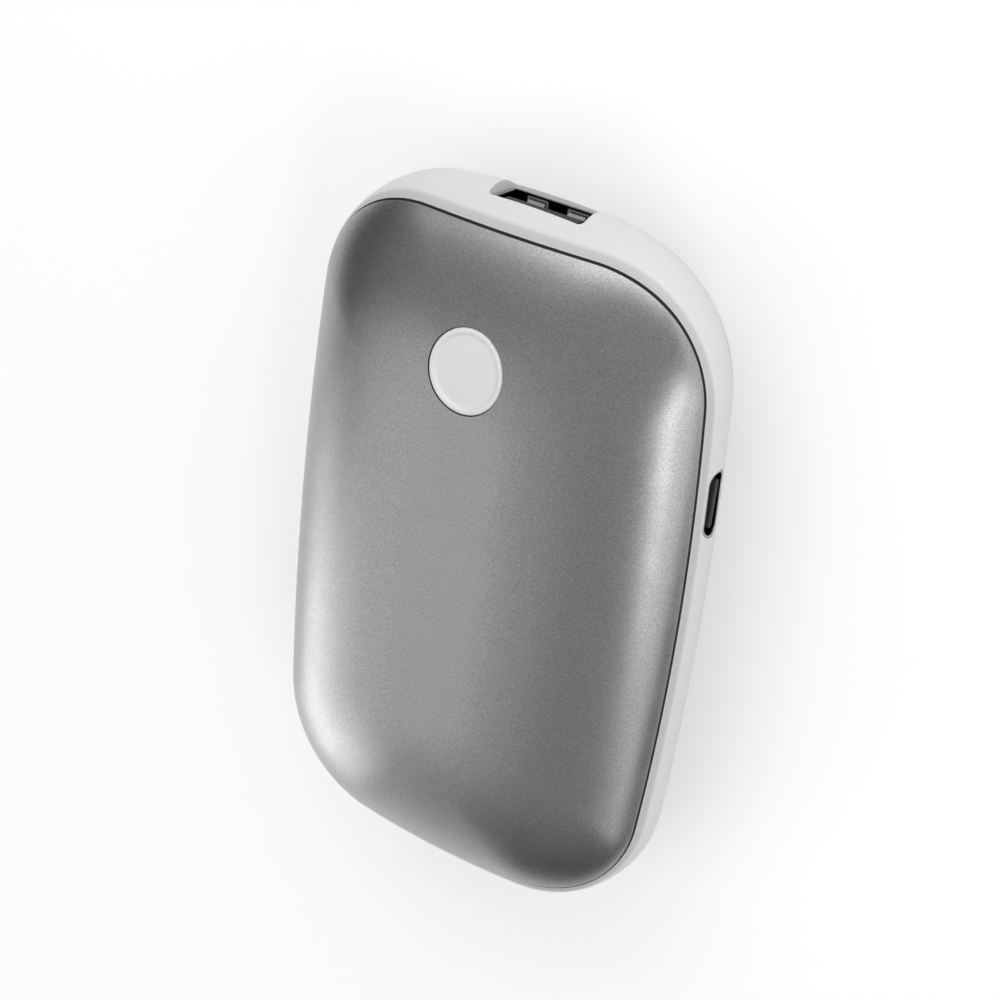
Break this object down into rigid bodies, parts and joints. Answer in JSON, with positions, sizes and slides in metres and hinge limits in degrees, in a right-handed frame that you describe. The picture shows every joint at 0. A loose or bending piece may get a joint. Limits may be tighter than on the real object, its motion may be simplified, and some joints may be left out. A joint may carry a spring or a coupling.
{
  "type": "rechargeable hand warmer",
  "caption": "Pebble-shaped rechargeable hand warmer: domed grey aluminium covers round a white moulded band, with a round push button and charging sockets in its edges.",
  "frame": {"origin": "on the surface it lies on, under the middle of the flat land of the rear cover", "axes": "+X to the right seen from the front, +Y towards the end with the wide socket, +Z out of the front cover"},
  "size_m": [0.062, 0.0975, 0.0248],
  "materials": {
    "cover_metal": "bead-blasted grey anodised",
    "band_plastic": "satin white moulding",
    "button_plastic": "satin white moulding",
    "seal_rubber": "black seal",
    "socket_steel": "bright plated sheet",
    "socket_plastic": "dark moulding",
    "contact_metal": "gold plated",
    "board_laminate": "green solder mask",
    "chip_plastic": "moulded chip",
    "coil_ferrite": "ferrite block",
    "ceramic_parts": "fired ceramic",
    "led_lens": "clear lens",
    "connector_plastic": "ivory connector",
    "switch_plastic": "black moulding",
    "spring_steel": "spring sheet",
    "screw_steel": "zinc plated",
    "guide_plastic": "natural moulding",
    "cell_foil": "laminated pouch foil",
    "tab_nickel": "nickel strip",
    "lead_red": "red insulation",
    "lead_black": "black insulation",
    "film_amber": "amber polyimide",
    "foam_grey": "closed-cell foam"
  },
  "bodies": {
    "housing": {"front_cover": "cover_metal", "rear_cover": "cover_metal", "mid_frame": "band_plastic", "front_gasket": "seal_rubber", "rear_gasket": "seal_rubber", "button_guide": "guide_plastic", "guide_screws": "screw_steel", "board_screws": "screw_steel", "main_board": "board_laminate", "usb_a_shell": "socket_steel", "usb_a_insulator": "socket_plastic", "usb_a_contacts": "contact_metal", "usb_c_shell": "socket_steel", "usb_c_insulator": "socket_plastic", "usb_c_contacts": "contact_metal", "switch_base": "switch_plastic", "switch_cover": "spring_steel", "switch_dome": "spring_steel", "power_inductor": "coil_ferrite", "charger_chip": "chip_plastic", "controller_chip": "chip_plastic", "capacitors": "ceramic_parts", "indicator_leds": "led_lens", "heater_sockets": "connector_plastic", "battery_socket": "connector_plastic", "battery_cell": "cell_foil", "cell_board": "board_laminate", "cell_tabs": "tab_nickel", "battery_lead_positive": "lead_red", "battery_lead_negative": "lead_black", "front_heater": "film_amber", "rear_heater": "film_amber", "front_heater_tail": "film_amber", "rear_heater_tail": "film_amber", "front_pad": "foam_grey", "rear_pad": "foam_grey", "thermistors": "ceramic_parts"},
    "button": {"power_button": "button_plastic"},
    "plunger": {"switch_plunger": "switch_plastic"}
  },
  "joints": [
    {"name": "button_press", "type": "slide", "parent": "housing", "child": "button", "axis": [0, 0, -1], "range_m": [0, 0.00025], "stiffness_N_per_m": 3000},
    {"name": "switch_press", "type": "slide", "parent": "housing", "child": "plunger", "axis": [0, 0, -1], "range_m": [0, 0.00025], "deforming": ["switch_dome"]}
  ],
  "couplings": [
    {"joint": "switch_press", "follows": "button_press", "ratio": 1}
  ]
}
